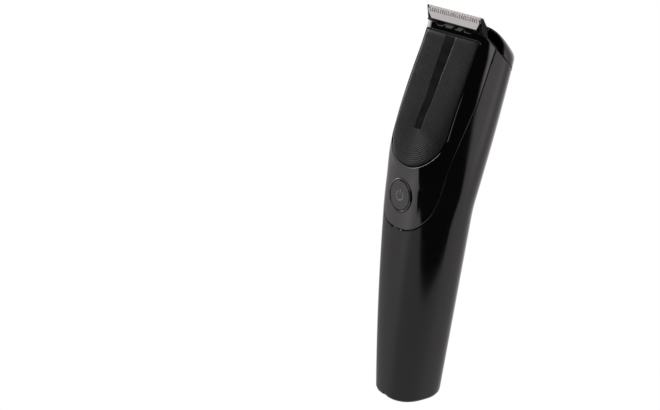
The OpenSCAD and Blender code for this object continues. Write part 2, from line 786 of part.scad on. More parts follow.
rear_housing();
front_cover();
front_panel();
rear_grip();
power_button();
button_bezel();
tact_switch();
switch_plunger();
circuit_board();
board_components();
battery_cell();
battery_tabs();
battery_leads();
charge_leads();
motor_leads();
chassis();
chassis_screws();
case_screws();
charge_socket();
socket_pin();
motor_can();
motor_magnets();
motor_end_cap();
motor_bearings();
motor_terminals();
motor_bracket();
bracket_screws();
mouth_cover();
motor_armature();
motor_shaft();
eccentric_cam();
drive_pin();
head_base();
head_hood();
head_latches();
comb_blade();
blade_screws();
tension_spring();
cutter_blade();
drive_fork();
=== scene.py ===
import math

import bpy
import numpy as np
from mathutils import Matrix, Vector
from mathutils.geometry import delaunay_2d_cdt


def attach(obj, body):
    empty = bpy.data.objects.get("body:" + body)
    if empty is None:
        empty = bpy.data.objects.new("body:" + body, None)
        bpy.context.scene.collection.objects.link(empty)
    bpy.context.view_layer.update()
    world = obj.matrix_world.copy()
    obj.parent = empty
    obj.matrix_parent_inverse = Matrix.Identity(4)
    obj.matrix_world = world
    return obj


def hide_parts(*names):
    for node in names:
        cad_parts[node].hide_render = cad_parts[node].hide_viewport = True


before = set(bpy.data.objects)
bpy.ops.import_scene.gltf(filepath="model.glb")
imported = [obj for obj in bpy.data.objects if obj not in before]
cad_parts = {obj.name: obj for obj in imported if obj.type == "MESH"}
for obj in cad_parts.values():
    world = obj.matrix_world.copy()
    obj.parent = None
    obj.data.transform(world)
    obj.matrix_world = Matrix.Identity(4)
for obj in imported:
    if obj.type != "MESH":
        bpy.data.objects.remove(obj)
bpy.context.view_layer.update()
MM = 0.001

# ---------------------------------------------------------------- camera
camera_data = bpy.data.cameras.new("camera")
camera_data.lens = 68.18
camera_data.sensor_width = 36.0
camera = bpy.data.objects.new("camera", camera_data)
bpy.context.scene.collection.objects.link(camera)
CAMERA_AT = Vector((0.38227, -0.32845, 0.24596))
CAMERA_RIGHT = Vector((0.57159, 0.81801, 0.06432))
CAMERA_UP = Vector((-0.28817, 0.12673, 0.94916))
CAMERA_BACK = CAMERA_RIGHT.cross(CAMERA_UP)
camera.matrix_world = Matrix(
    ((*CAMERA_RIGHT, 0), (*CAMERA_UP, 0), (*CAMERA_BACK, 0), (0, 0, 0, 1))).transposed()
camera.location = CAMERA_AT
bpy.context.scene.camera = camera

# ---------------------------------------------------------------- the body's shape, in millimetres
# The design's own sizes and rules, with one difference: the CAD's front corners grow square between
# heights 85 and 115, and these do so more slowly, so near height 104 they lie up to 2.9 mm inside the CAD's
BODY_H, BASE_W, TOP_W, BASE_D, HEAD_D = 161.7, 24.4, 36.1, 27.0, 30.0
HEAD_TILT = math.radians(19.85)
MOUTH_SLOPE = math.radians(20.3)
BEND_Z, BELLY, BELLY_Z, BACK_SLOPE = 106.0, 1.2, 49.0, 0.05
BACK_Z, BACK_LEAN, BACK_CURVE = BODY_H - 13.2, 0.2, 0.00062
FLARE, FLARE_EASE, TOP_TAPER = 0.089, 0.00009, 0.035
HOOD_RISE, HOOD_BACK, HOOD_ROUND, BEND_SOFT = 2.9, 0.5, 7.2, 2.5
SQUARE_LOW, SQUARE_FRONT, SQUARE_START, SQUARE_SPAN = 2.6, 8.0, BEND_Z - 10, 60.0
BASE_ROUND, BASE_ROUND_BACK, FLOOR_T = 1.5, 3.0, 2.2
WALL, SEAM_Z = 2.0, 78.2
TOP_Z = BODY_H + HOOD_RISE - 0.15


def soft_max(a, b, k):
    return np.maximum(a, b) + np.maximum(k - np.abs(a - b), 0) ** 2 / (4 * k)


def soft_min(a, b, k):
    return -soft_max(-a, -b, k)


def ease(t):
    u = np.clip(t, 0, 1)
    return u * u * (3 - 2 * u)


def front_low(z):
    return -BASE_D / 2 - BELLY + BELLY * ((z - BELLY_Z) / BELLY_Z) ** 2


def front_up(z):
    return front_low(BEND_Z) + (z - BEND_Z) * math.tan(HEAD_TILT)


def front_y(z):
    return soft_max(front_low(z), front_up(z), BEND_SOFT)


def body_back(z):
    up = front_up(BACK_Z) + HEAD_D - BACK_LEAN * (BACK_Z - z) - BACK_CURVE * (BACK_Z - z) ** 2
    return soft_max(BASE_D / 2 + BACK_SLOPE * z, up, 1.0)


def hood_y(z):
    return front_up(BODY_H) - HOOD_BACK + HOOD_ROUND * np.sqrt(np.maximum(BODY_H + HOOD_RISE - z, 0))


def back_y(z, inset):
    return soft_min(body_back(z) - inset, hood_y(z + inset), BEND_SOFT)


def half_w(z):
    return soft_min(BASE_W / 2 + FLARE * z - FLARE_EASE * z * z, TOP_W / 2 + TOP_TAPER * (BODY_H - z), 2.0)


def squareness(z):
    """How square the front corners are: an ellipse would be 2."""
    return SQUARE_LOW + (SQUARE_FRONT - SQUARE_LOW) * ease((z - SQUARE_START) / SQUARE_SPAN)


def round_in(z, r):
    return np.where(z < r, r - np.sqrt(np.maximum(r * r - (r - np.minimum(z, r)) ** 2, 0)), 0.0)


def section(z, inset=0.0):
    """Half width, front and back of the level section at height z."""
    return (half_w(z) - inset - round_in(z, BASE_ROUND),
            front_y(z) + inset + round_in(z, BASE_ROUND),
            back_y(z, inset) - round_in(z, BASE_ROUND_BACK))


def body(turn, z, inset=0.0):
    """Point of the body's surface: turn is 0 at the front, positive to +X, pi at the back."""
    turn, z = np.broadcast_arrays(np.asarray(turn, float), np.asarray(z, float))
    a, f, b = section(z, inset)
    n = np.where(np.cos(turn) > 0, squareness(z), SQUARE_LOW)
    sx, cy = np.sin(turn), -np.cos(turn)
    r = (np.abs(sx) ** n + np.abs(cy) ** n) ** (-1 / n)
    return np.stack([a * r * sx, (f + b) / 2 + (b - f) / 2 * r * cy, z], -1)


def body_normal(turn, z):
    z = np.clip(z, 0.02, TOP_Z - 0.02)
    du = body(turn + 2e-4, z) - body(turn - 2e-4, z)
    dz = body(turn, z + 0.01) - body(turn, z - 0.01)
    n = np.cross(du, dz)
    return n / np.maximum(np.linalg.norm(n, axis=-1, keepdims=True), 1e-12)


# Table of the length round the body at each height
ROWS = np.linspace(0, TOP_Z, 660)
TURNS = np.linspace(0, math.pi, 721)
_ring = body(TURNS[None, :], ROWS[:, None])
_step = np.linalg.norm(np.diff(_ring, axis=1), axis=-1)
LENGTH = np.concatenate([np.zeros((len(ROWS), 1)), np.cumsum(_step, axis=1)], axis=1)
SHARE = np.linspace(0, 1, 721)
TURN_AT = np.array([np.interp(SHARE, row / row[-1], TURNS) for row in LENGTH])


def bilinear(table, z, share):
    r = np.clip(np.asarray(z, float) / TOP_Z * (len(ROWS) - 1), 0, len(ROWS) - 1.001)
    c = np.clip(np.asarray(share, float) * (table.shape[1] - 1), 0, table.shape[1] - 1.001)
    i, j = r.astype(int), c.astype(int)
    u, v = r - i, c - j
    return ((table[i, j] * (1 - v) + table[i, j + 1] * v) * (1 - u)
            + (table[i + 1, j] * (1 - v) + table[i + 1, j + 1] * v) * u)


def half_round(z):
    return np.interp(z, ROWS, LENGTH[:, -1])


def along(turn, z):
    """Length round the body from the front centre line to turn."""
    return np.sign(turn) * bilinear(LENGTH, z, np.abs(turn) / math.pi)


def turn_of(s, z):
    return np.sign(s) * bilinear(TURN_AT, z, np.abs(s) / half_round(z))


def turn_side(y, z):
    """Turn of the point on the +X side whose depth is y."""
    _, f, b = section(z)
    v = np.clip((y - (f + b) / 2) / ((b - f) / 2), -1, 1)
    n = np.where(v < 0, squareness(z), SQUARE_LOW)
    return np.arctan2((1 - np.abs(v) ** n) ** (1 / n), -v)


def turn_across(x, z, behind=False):
    """Turn of the front's or the back's point at distance x from the middle."""
    a, _, _ = section(z)
    u = np.clip(x / a, -1, 1)
    n = SQUARE_LOW * np.ones_like(z) if behind else squareness(z)
    v = (1 - np.abs(u) ** n) ** (1 / n)
    return np.arctan2(u, -v if behind else v)


# Frames of the head and the mouth
TOP_Y = float(front_up(BODY_H))


def to_head(y, z, tilt=HEAD_TILT):
    dy, dz = y - TOP_Y, z - BODY_H
    return dy * math.cos(tilt) - dz * math.sin(tilt), dy * math.sin(tilt) + dz * math.cos(tilt)


def from_head(y, z, tilt=HEAD_TILT):
    return (TOP_Y + y * math.cos(tilt) + z * math.sin(tilt),
            BODY_H - y * math.sin(tilt) + z * math.cos(tilt))


# ---------------------------------------------------------------- flat outlines and their triangles
def resample(points, step):
    points = np.asarray(points, float)
    d = np.concatenate([[0], np.cumsum(np.linalg.norm(np.diff(points, axis=0), axis=1))])
    k = max(int(round(d[-1] / step)), 1)
    t = np.linspace(0, d[-1], k + 1)
    return np.stack([np.interp(t, d, points[:, i]) for i in range(2)], -1)


def smooth_curve(points, per_span=12):
    """Catmull-Rom curve through the points."""
    p = np.asarray(points, float)
    p = np.concatenate([[2 * p[0] - p[1]], p, [2 * p[-1] - p[-2]]])
    out = []
    for i in range(1, len(p) - 2):
        t = np.linspace(0, 1, per_span, endpoint=False)[:, None]
        a, b, c, d = p[i - 1], p[i], p[i + 1], p[i + 2]
        out.append(0.5 * (2 * b + (c - a) * t + (2 * a - 5 * b + 4 * c - d) * t ** 2
                          + (3 * b - a - 3 * c + d) * t ** 3))
    return np.concatenate(out + [p[-2:-1]])


def inside(loop, pts):
    a, b = loop, np.roll(loop, -1, axis=0)
    hit = np.zeros(len(pts), bool)
    for (x0, y0), (x1, y1) in zip(a, b):
        if y0 == y1:
            continue
        cross = (y0 > pts[:, 1]) != (y1 > pts[:, 1])
        hit ^= cross & (pts[:, 0] < (x1 - x0) * (pts[:, 1] - y0) / (y1 - y0) + x0)
    return hit


def distance(segments, pts, reach):
    """Distance from each point to the nearest segment, up to reach, and the direction to it."""
    best = np.full(len(pts), float(reach))
    toward = np.zeros((len(pts), 2))
    for a, b in segments:
        near = np.nonzero((pts[:, 0] > min(a[0], b[0]) - reach) & (pts[:, 0] < max(a[0], b[0]) + reach)
                          & (pts[:, 1] > min(a[1], b[1]) - reach) & (pts[:, 1] < max(a[1], b[1]) + reach))[0]
        if not len(near):
            continue
        p = pts[near]
        ab = b - a
        t = np.clip((p - a) @ ab / max(ab @ ab, 1e-12), 0, 1)
        gap = a + t[:, None] * ab - p
        d = np.linalg.norm(gap, axis=1)
        better = d < best[near]
        best[near[better]] = d[better]
        toward[near[better]] = gap[better] / np.maximum(d[better], 1e-9)[:, None]
    return best, toward


def loop_edges(loop):
    return list(zip(loop, np.roll(loop, -1, axis=0)))


def triangulate(outer, holes, pitch, layers=(0.12, 0.3, 0.6)):
    """Triangles of the region inside outer and outside holes, fine along its edges."""
    loops = [outer, *holes]
    pts, edges, start = [], [], 0
    for loop in loops:
        k = len(loop)
        pts.append(loop)
        edges += [(start + i, start + (i + 1) % k) for i in range(k)]
        start += k
    segments = [e for loop in loops for e in loop_edges(loop)]
    for loop in loops:
        tangent = np.roll(loop, -1, axis=0) - np.roll(loop, 1, axis=0)
        across = np.stack([-tangent[:, 1], tangent[:, 0]], -1)
        across /= np.maximum(np.linalg.norm(across, axis=1, keepdims=True), 1e-9)
        for depth in layers:
            for side in (1, -1):
                q = loop + across * depth * side
                d, _ = distance(segments, q, 2 * depth)
                pts.append(q[(d > 0.9 * depth) & inside(outer, q)])
    lo, hi = outer.min(0), outer.max(0)
    rows = np.arange(lo[1] + pitch / 2, hi[1], pitch * 0.87)
    grid = []
    for k, row in enumerate(rows):
        columns = np.arange(lo[0] + (pitch / 2) * (k % 2), hi[0], pitch)
        grid.append(np.stack([columns, np.full(len(columns), row)], -1))
    grid = np.concatenate(grid)
    far = (max(layers) if layers else 0) + 0.45 * pitch
    d, _ = distance(segments, grid, far)
    pts.append(grid[(d >= far) & inside(outer, grid)])
    every = np.concatenate(pts)
    keep = np.ones(len(every), bool)
    for hole in holes:
        drop = inside(hole, every)
        drop[:start] = False
        keep &= ~drop
    every = every[keep]
    out = delaunay_2d_cdt([Vector(p) for p in every], edges, [], 0, 1e-6)
    v = np.array([tuple(p) for p in out[0]])
    t = np.array([f for f in out[2] if len(f) == 3])
    mid = v[t].mean(axis=1)
    ok = inside(outer, mid)
    for hole in holes:
        ok &= ~inside(hole, mid)
    return v, t[ok]


def open_edges(tris):
    """Edges with a triangle on one side only, in that triangle's direction."""
    seen = {}
    for a, b, c in tris:
        for e in ((a, b), (b, c), (c, a)):
            seen[e] = True
    return np.array([e for e in seen if (e[1], e[0]) not in seen])


# ---------------------------------------------------------------- mesh building
class Builder:
    """Collects points, faces and their normals, in millimetres, and makes one object of them."""

    def __init__(self):
        self.points, self.faces, self.normals, self.slots, self.count = [], [], [], [], 0

    def add(self, points, faces, normals=None, slot=0):
        points, faces = np.asarray(points, float), np.asarray(faces, int)
        if normals is None:
            p = points[faces]
            flat = np.cross(p[:, 1] - p[:, 0], p[:, 2] - p[:, 0])
            flat /= np.maximum(np.linalg.norm(flat, axis=1, keepdims=True), 1e-12)
            corner = np.repeat(flat[:, None, :], faces.shape[1], axis=1)
        else:
            corner = np.asarray(normals, float)[faces]
        self.points.append(points)
        for f, c in zip(faces + self.count, corner):
            self.faces.append(f)
            self.normals.append(c)
            self.slots.append(slot)
        self.count += len(points)

    def grid(self, points, close_u=False, close_v=False, smooth=True, slot=0, flip=False):
        """Quads over an array of points with two indices."""
        points = np.asarray(points, float)
        nu, nv = points.shape[:2]
        index = np.arange(nu * nv).reshape(nu, nv)
        iu = np.concatenate([index, index[:1]]) if close_u else index
        iuv = np.concatenate([iu, iu[:, :1]], axis=1) if close_v else iu
        q = np.stack([iuv[:-1, :-1], iuv[1:, :-1], iuv[1:, 1:], iuv[:-1, 1:]], -1).reshape(-1, 4)
        if flip:
            q = q[:, ::-1]
        flat = points.reshape(-1, 3)
        normals = None
        if smooth:
            p = flat[q]
            face = np.cross(p[:, 2] - p[:, 0], p[:, 3] - p[:, 1])
            normals = np.zeros_like(flat)
            for k in range(4):
                np.add.at(normals, q[:, k], face)
            normals /= np.maximum(np.linalg.norm(normals, axis=1, keepdims=True), 1e-12)
        self.add(flat, q, normals, slot)

    def build(self, name, materials):
        v = np.concatenate(self.points)
        key = np.round(v * 2e4).astype(np.int64)
        _, first, where = np.unique(key, axis=0, return_index=True, return_inverse=True)
        where = where.reshape(-1)
        v = v[first]
        faces, normals, slots = [], [], []
        for f, n, s in zip(self.faces, self.normals, self.slots):
            g = where[f]
            keep = [k for k in range(len(g)) if g[k] != g[k - 1]]
            if len(keep) >= 3 and len(set(g[keep])) == len(keep):
                faces.append(g[keep].tolist())
                normals.append(n[keep])
                slots.append(s)
        mesh = bpy.data.meshes.new(name)
        mesh.from_pydata((v * MM).tolist(), [], faces)
        mesh.polygons.foreach_set("use_smooth", [True] * len(faces))
        for m in materials:
            mesh.materials.append(m)
        mesh.polygons.foreach_set("material_index", slots)
        mesh.normals_split_custom_set(np.concatenate(normals).tolist())
        mesh.update()
        obj = bpy.data.objects.new(name, mesh)
        bpy.context.scene.collection.objects.link(obj)
        return obj


def mirror_loop(right):
    """Closed outline from its +X half, which starts and ends on the middle line."""
    left = right[::-1].copy()
    left[:, 0] *= -1
    keep = np.abs(left[:, 0]) > 1e-6
    return np.concatenate([right, left[keep]])


def side_curve(points, from_back=False):
    """Outline coordinates of points given as depth and height on the +X side."""
    y, z = np.asarray(points, float).T
    s = along(turn_side(y, z), z)
    return np.stack([half_round(z) - s if from_back else s, z], -1)


class Skin:
    """A trimmed stretch of the body's surface with rounded edges and a thickness."""

    def __init__(self, outer, holes=(), pitch=1.0, edge=0.35, sink=0.0, from_back=False,
                 real=None, layers=(0.1, 0.22, 0.4)):
        self.from_back, self.sink, self.edge = from_back, sink, edge
        self.uv, self.tris = triangulate(outer, list(holes), pitch, layers)
        loops = [outer, *holes]
        segments = [e for loop in loops for e in loop_edges(loop)]
        if real is not None:
            segments = [e for e in segments if real(e)]
        self.depth, toward = distance(segments, self.uv, max(edge, 0.05))
        s, z = self.uv.T
        if from_back:
            self.turn = np.where(s >= 0, 1, -1) * (math.pi - np.abs(turn_from_back(s, z)))
        else:
            self.turn = turn_of(s, z)
        self.z = z
        self.normal = body_normal(self.turn, z)
        base = body(self.turn, z)
        lean = np.clip(1 - self.depth / edge, 0, 1)[:, None]
        drop = edge * (1 - np.sqrt(np.clip(1 - lean ** 2, 0, 1)))
        du = body(self.turn + 1e-3, z) - body(self.turn - 1e-3, z)
        du /= np.maximum(np.linalg.norm(du, axis=1, keepdims=True), 1e-12)
        dv = np.cross(self.normal, du)
        sign = -1.0 if from_back else 1.0
        out = sign * toward[:, :1] * du + toward[:, 1:] * dv
        self.top = base - self.normal * (sink + drop)
        tilted = self.normal * np.sqrt(np.clip(1 - lean ** 2, 0, 1)) + out * lean
        self.shade = tilted / np.maximum(np.linalg.norm(tilted, axis=1, keepdims=True), 1e-12)
        flip = self.tris[:, ::-1] if from_back else self.tris
        p = self.top[flip[: min(len(flip), 400)]]
        facing = np.einsum("ij,ij->i", np.cross(p[:, 1] - p[:, 0], p[:, 2] - p[:, 0]),
                           self.normal[flip[: len(p), 0]])
        self.faces = flip if facing.sum() > 0 else flip[:, ::-1]

    def chamfer(self, segments, width, slope):
        """Lean the surface down towards some of its edges."""
        depth, toward = distance(segments, self.uv, width)
        du = body(self.turn + 1e-3, self.z) - body(self.turn - 1e-3, self.z)
        du /= np.maximum(np.linalg.norm(du, axis=1, keepdims=True), 1e-12)
        out = toward[:, :1] * du + toward[:, 1:] * np.cross(self.normal, du)
        self.top = self.top - self.normal * (slope * (width - depth))[:, None]
        shade = self.shade + out * (slope * ease((width - depth) / 0.1))[:, None]
        self.shade = shade / np.linalg.norm(shade, axis=1, keepdims=True)

    def under(self, inset, z_low=0.0):
        """The same points on the inside."""
        return body(self.turn, z_low + self.z * (1 - z_low / TOP_Z), inset)

    def add_to(self, builder, inner, slot=0, rim_slot=None, rims=True):
        builder.add(self.top, self.faces, self.shade, slot)
        builder.add(inner, self.faces[:, ::-1], -self.normal, slot)
        if rims:
            self.add_rim(builder, inner, slot if rim_slot is None else rim_slot)

    def rim_edges(self):
        return open_edges(self.weld(self.faces))

    def weld(self, faces):
        key = np.round(self.top * 2e4).astype(np.int64)
        _, first, where = np.unique(key, axis=0, return_index=True, return_inverse=True)
        return first[where.reshape(-1)][faces]

    def add_rim(self, builder, inner, slot):
        e = self.rim_edges()
        a, b = e[:, 0], e[:, 1]
        pts = np.concatenate([self.top[a], self.top[b], inner[b], inner[a]])
        k = len(e)
        i = np.arange(k)
        builder.add(pts, np.stack([i + k, i, i + 3 * k, i + 2 * k], -1), None, slot)


def turn_from_back(s, z):
    """How far the point at distance s from the back centre line is turned from the back."""
    h = half_round(z)
    return math.pi - turn_of(np.clip(h - np.abs(s), 0, None), z)


# ---------------------------------------------------------------- outlines on the body
SEAM_GAP, MOUTH_GAP, PANEL_GAP = 0.12, 0.1, 0.25
SEAM_SHAPE = [[0, 0], [0.05, 0.07], [0.12, 0.15], [0.24, 0.2], [0.45, 0.225], [0.58, 0.265],
              [0.7, 0.3], [1.1, 0.32]]
OUTLINE_STEP = 0.55


def seam_curve():
    """Depth and height along the seam between the cover and the housing."""
    share = smooth_curve(SEAM_SHAPE)
    z = SEAM_Z + share[:, 0] * (BODY_H - SEAM_Z)
    return np.stack([front_y(z) + share[:, 1] * (body_back(z) - front_y(z)), z], -1)


def mouth_z(y, rise=0.0):
    """Height of the mouth's plane at depth y."""
    tilt = HEAD_TILT + MOUTH_SLOPE
    return BODY_H - (y - TOP_Y) * math.tan(tilt) + rise / math.cos(tilt)


def under_mouth(curve, rise):
    """The part of a depth-and-height curve under the mouth's plane, with its end on the plane."""
    gap = curve[:, 1] - mouth_z(curve[:, 0], rise)
    k = int(np.argmax(gap > 0))
    t = gap[k - 1] / (gap[k - 1] - gap[k])
    return np.concatenate([curve[:k], [curve[k - 1] + t * (curve[k] - curve[k - 1])]])


def mouth_curve(y0, y1, rise):
    y = np.linspace(y0, y1, 60)
    return np.stack([y, mouth_z(y, rise)], -1)


def mouth_ends(rise):
    """Depth of the mouth's front and back edges on the middle line."""
    y = np.linspace(TOP_Y - 5, TOP_Y + 40, 4000)
    z = mouth_z(y, rise)
    within = (y >= front_y(z)) & (y <= back_y(z, 0))
    return y[within][0], y[within][-1]


def front_outline(right_half, frame_of, steps=8):
    """Outline coordinates of a shape seen square to the front: x, and the height in a tilted frame."""
    x, w = np.asarray(right_half, float).T
    y0, z0, tilt = frame_of
    z = z0 + w * math.cos(tilt)
    for _ in range(steps):
        y = body(turn_across(x, z), z)[..., 1]
        z = z + (w - ((y - y0) * math.sin(tilt) + (z - z0) * math.cos(tilt))) / math.cos(tilt)
    return np.stack([along(turn_across(x, z), z), z], -1)


PANEL_W, PANEL_BAND, PANEL_L, PANEL_T = 32.9, 3.6, 39.8, 1.0
HEAD_FRAME = (TOP_Y, BODY_H, HEAD_TILT)
PANEL_ARC = -PANEL_BAND - PANEL_L


def panel_half(grow, top_grow):
    """Right half of the panel's outline in the head's frame, from the bottom up."""
    r = PANEL_W / 2 + grow
    t = np.linspace(-math.pi / 2, 0, 40)
    arc = np.stack([r * np.cos(t), PANEL_ARC + r * np.sin(t)], -1)
    top = -PANEL_BAND + top_grow
    return resample(np.concatenate([arc, [[r, top - 0.4], [r - 0.4, top], [0, top]]]), 0.5)


BUTTON_Z, BEZEL_D, BUTTON_D = 92.2, 14.3, 12.4
BUTTON_LEAN = math.atan(float(front_y(BUTTON_Z + 1) - front_y(BUTTON_Z - 1)) / 2)
BUTTON_FRAME = (float(front_y(BUTTON_Z)), BUTTON_Z, BUTTON_LEAN)


def button_point(x, up, out):
    """Point in the body's frame from the button's own: across, up and out of the front."""
    x, up, out = np.broadcast_arrays(*(np.asarray(v, float) for v in (x, up, out)))
    y0, z0, lean = BUTTON_FRAME
    return np.stack([x, y0 + up * math.sin(lean) - out * math.cos(lean),
                     z0 + up * math.cos(lean) + out * math.sin(lean)], -1)


def circle_half(r):
    t = np.linspace(-math.pi / 2, math.pi / 2, 48)
    return np.stack([r * np.cos(t), r * np.sin(t)], -1)


def closed(half):
    half[0, 0] = half[-1, 0] = 0.0
    return mirror_loop(half)


def cover_outline():
    seam = under_mouth(seam_curve(), -MOUTH_GAP)
    y_front, _ = mouth_ends(-MOUTH_GAP)
    mouth = mouth_curve(seam[-1, 0], y_front, -MOUTH_GAP)
    half = np.concatenate([side_curve(seam), side_curve(mouth)[1:]])
    half = resample(half, OUTLINE_STEP)
    return closed(half)


def housing_outline():
    seam = under_mouth(seam_curve() + [SEAM_GAP, -SEAM_GAP], -MOUTH_GAP)
    _, y_back = mouth_ends(-MOUTH_GAP)
    mouth = mouth_curve(seam[-1, 0], y_back, -MOUTH_GAP)
    upper = np.concatenate([side_curve(seam, True), side_curve(mouth, True)[1:]])
    cut_z = np.linspace(0, upper[0, 1], 60)
    cut = np.stack([half_round(cut_z), cut_z], -1)
    bottom = np.stack([np.linspace(0, half_round(0.0), 60), np.zeros(60)], -1)
    parts = [resample(p, OUTLINE_STEP) for p in (bottom, cut, upper)]
    return closed(np.concatenate([parts[0], parts[1][1:], parts[2][1:]]))


GRIP_Z0, GRIP_Z1, GRIP_W0, GRIP_W1 = 91.0, BODY_H - 25, 24.6, 30.0
GRIP_SINK, GRIP_T = 0.3, 0.9


def grip_half(grow):
    r = GRIP_W0 / 2 + grow
    zc = GRIP_Z0 + GRIP_W0 / 2
    t = np.linspace(-math.pi / 2, 0, 40)
    arc = np.stack([r * np.cos(t), zc + r * np.sin(t)], -1)
    w, top = GRIP_W1 / 2 + grow, GRIP_Z1 + grow
    corner = smooth_curve([[w - 0.1, top - 2.2], [w - 0.6, top - 0.6], [w - 2.2, top - 0.05]])
    return resample(np.concatenate([arc, corner, [[0, top]]]), 0.5)


def grip_outline(grow):
    x, z = grip_half(grow).T
    s = along(turn_across(x, z, True), z)
    return closed(np.stack([half_round(z) - s, z], -1))


# ---------------------------------------------------------------- materials
def new_material(name, color, roughness, metallic=0.0, ior=1.5):
    m = bpy.data.materials.new(name)
    m.use_nodes = True
    shader = m.node_tree.nodes["Principled BSDF"]
    shader.inputs["Base Color"].default_value = (*color, 1)
    shader.inputs["Roughness"].default_value = roughness
    shader.inputs["Metallic"].default_value = metallic
    shader.inputs["IOR"].default_value = ior
    return m, m.node_tree.nodes, m.node_tree.links, shader


def noise(nodes, links, scale, detail=3.0, stretch=(1, 1, 1)):
    place = nodes.new("ShaderNodeTexCoord")
    fit = nodes.new("ShaderNodeMapping")
    fit.inputs["Scale"].default_value = stretch
    links.new(place.outputs["Object"], fit.inputs["Vector"])
    n = nodes.new("ShaderNodeTexNoise")
    n.inputs["Scale"].default_value = scale
    n.inputs["Detail"].default_value = detail
    links.new(fit.outputs["Vector"], n.inputs["Vector"])
    return n.outputs["Fac"]


def spread(nodes, links, value, low, high, start=0.3, end=0.7):
    r = nodes.new("ShaderNodeMapRange")
    r.inputs["From Min"].default_value = start
    r.inputs["From Max"].default_value = end
    r.inputs["To Min"].default_value = low
    r.inputs["To Max"].default_value = high
    links.new(value, r.inputs["Value"])
    return r.outputs["Result"]


def vary_color(nodes, links, shader, value, dark, light):
    r = nodes.new("ShaderNodeValToRGB")
    r.color_ramp.elements[0].position = 0.3
    r.color_ramp.elements[1].position = 0.7
    r.color_ramp.elements[0].color = (*dark, 1)
    r.color_ramp.elements[1].color = (*light, 1)
    links.new(value, r.inputs["Fac"])
    links.new(r.outputs["Color"], shader.inputs["Base Color"])


def add_bump(nodes, links, shader, value, strength, distance_mm):
    b = nodes.new("ShaderNodeBump")
    b.inputs["Strength"].default_value = strength
    b.inputs["Distance"].default_value = distance_mm * MM
    links.new(value, b.inputs["Height"])
    links.new(b.outputs["Normal"], shader.inputs["Normal"])


def plastic(name, color, roughness, grain=0.0, grain_scale=2500.0, wear=0.02, ior=1.5):
    """Moulded plastic: faint flow marks in its colour, and a fine grain."""
    m, nodes, links, shader = new_material(name, color, roughness, ior=ior)
    flow = noise(nodes, links, 60.0, 4.0)
    vary_color(nodes, links, shader, flow, [c * 0.85 for c in color], [c * 1.15 for c in color])
    links.new(spread(nodes, links, noise(nodes, links, 220.0, 5.0), roughness - wear, roughness + wear),
              shader.inputs["Roughness"])
    if grain:
        add_bump(nodes, links, shader, noise(nodes, links, grain_scale, 2.0), grain, 0.02)
    return m


def metal(name, color, roughness, stretch=(1, 1, 1), scale=900.0, depth=0.15):
    """Ground or drawn metal: streaks along the grinding."""
    m, nodes, links, shader = new_material(name, color, roughness, metallic=1.0)
    lines = noise(nodes, links, scale, 4.0, stretch)
    vary_color(nodes, links, shader, lines, [c * 0.9 for c in color], color)
    links.new(spread(nodes, links, lines, roughness - 0.06, roughness + 0.08), shader.inputs["Roughness"])
    add_bump(nodes, links, shader, lines, depth, 0.01)
    return m


gloss = plastic("black_gloss", (0.0022, 0.0021, 0.0023), 0.06, wear=0.01, ior=1.8)
satin = plastic("black_satin", (0.0028, 0.0026, 0.0029), 0.08, grain=0.03, wear=0.015)
# The power sign's light grey colour is a painted highlight, standing in for light caught on the raised black
# sign
power_sign_painted_highlight = plastic("power_sign_painted_highlight", (0.17, 0.165, 0.17), 0.3)
panel_matte = plastic("panel_matte", (0.010, 0.0097, 0.010), 0.45, grain=0.25, wear=0.05, ior=1.36)
# The panel's middle strip: a smoother finish, and a darker base colour that is painted shade for the dark
# reflection of its smooth face
panel_strip_painted_shade = plastic("panel_strip_painted_shade", (0.0045, 0.0044, 0.0045), 0.2, grain=0.05, wear=0.03)
grip_rubber = plastic("grip_rubber", (0.012, 0.012, 0.012), 0.62, grain=0.35, wear=0.04)
inner_plastic = plastic("inner_plastic", (0.01, 0.01, 0.01), 0.5, grain=0.2, wear=0.05)
lip_black = plastic("lip_black", (0.003, 0.003, 0.003), 0.3, wear=0.04, ior=1.33)
blade_steel = metal("blade_steel", (0.80, 0.79, 0.76), 0.34, (1, 14, 14))
screw_steel = metal("screw_steel", (0.62, 0.61, 0.59), 0.3)
can_steel = metal("can_steel", (0.6, 0.6, 0.58), 0.35, (1, 1, 8))
nickel = metal("nickel", (0.72, 0.70, 0.66), 0.25)
bronze = metal("bronze", (0.6, 0.42, 0.18), 0.4)
copper = metal("winding_copper", (0.5, 0.2, 0.09), 0.38, (1, 1, 12), 400.0, 0.5)
magnet = plastic("ferrite", (0.03, 0.028, 0.028), 0.6, grain=0.4, wear=0.08)
acetal = plastic("acetal", (0.75, 0.72, 0.63), 0.4, grain=0.1, wear=0.04)
board_green = plastic("solder_mask", (0.012, 0.13, 0.06), 0.28, grain=0.15, grain_scale=900.0)
chip = plastic("chip_plastic", (0.012, 0.012, 0.012), 0.45, grain=0.2)
cell_wrap = plastic("cell_wrap", (0.05, 0.2, 0.4), 0.25, grain=0.05)
wire_skin = plastic("wire_skin", (0.25, 0.02, 0.015), 0.35)

NODE_MATERIALS = {
    "tact_switch": inner_plastic, "switch_plunger": acetal, "circuit_board": board_green,
    "board_components": chip, "battery_cell": cell_wrap, "battery_tabs": nickel,
    "battery_leads": wire_skin, "charge_leads": wire_skin, "motor_leads": wire_skin,
    "chassis": inner_plastic, "chassis_screws": screw_steel, "case_screws": screw_steel,
    "charge_socket": inner_plastic, "socket_pin": nickel, "motor_can": can_steel,
    "motor_magnets": magnet, "motor_end_cap": acetal, "motor_bearings": bronze,
    "motor_terminals": bronze, "motor_bracket": can_steel, "bracket_screws": screw_steel,
    "mouth_cover": inner_plastic, "motor_armature": copper, "motor_shaft": screw_steel,
    "eccentric_cam": acetal, "drive_pin": screw_steel, "head_base": lip_black,
    "head_latches": inner_plastic, "comb_blade": blade_steel, "blade_screws": screw_steel,
    "tension_spring": screw_steel, "cutter_blade": blade_steel, "drive_fork": acetal}
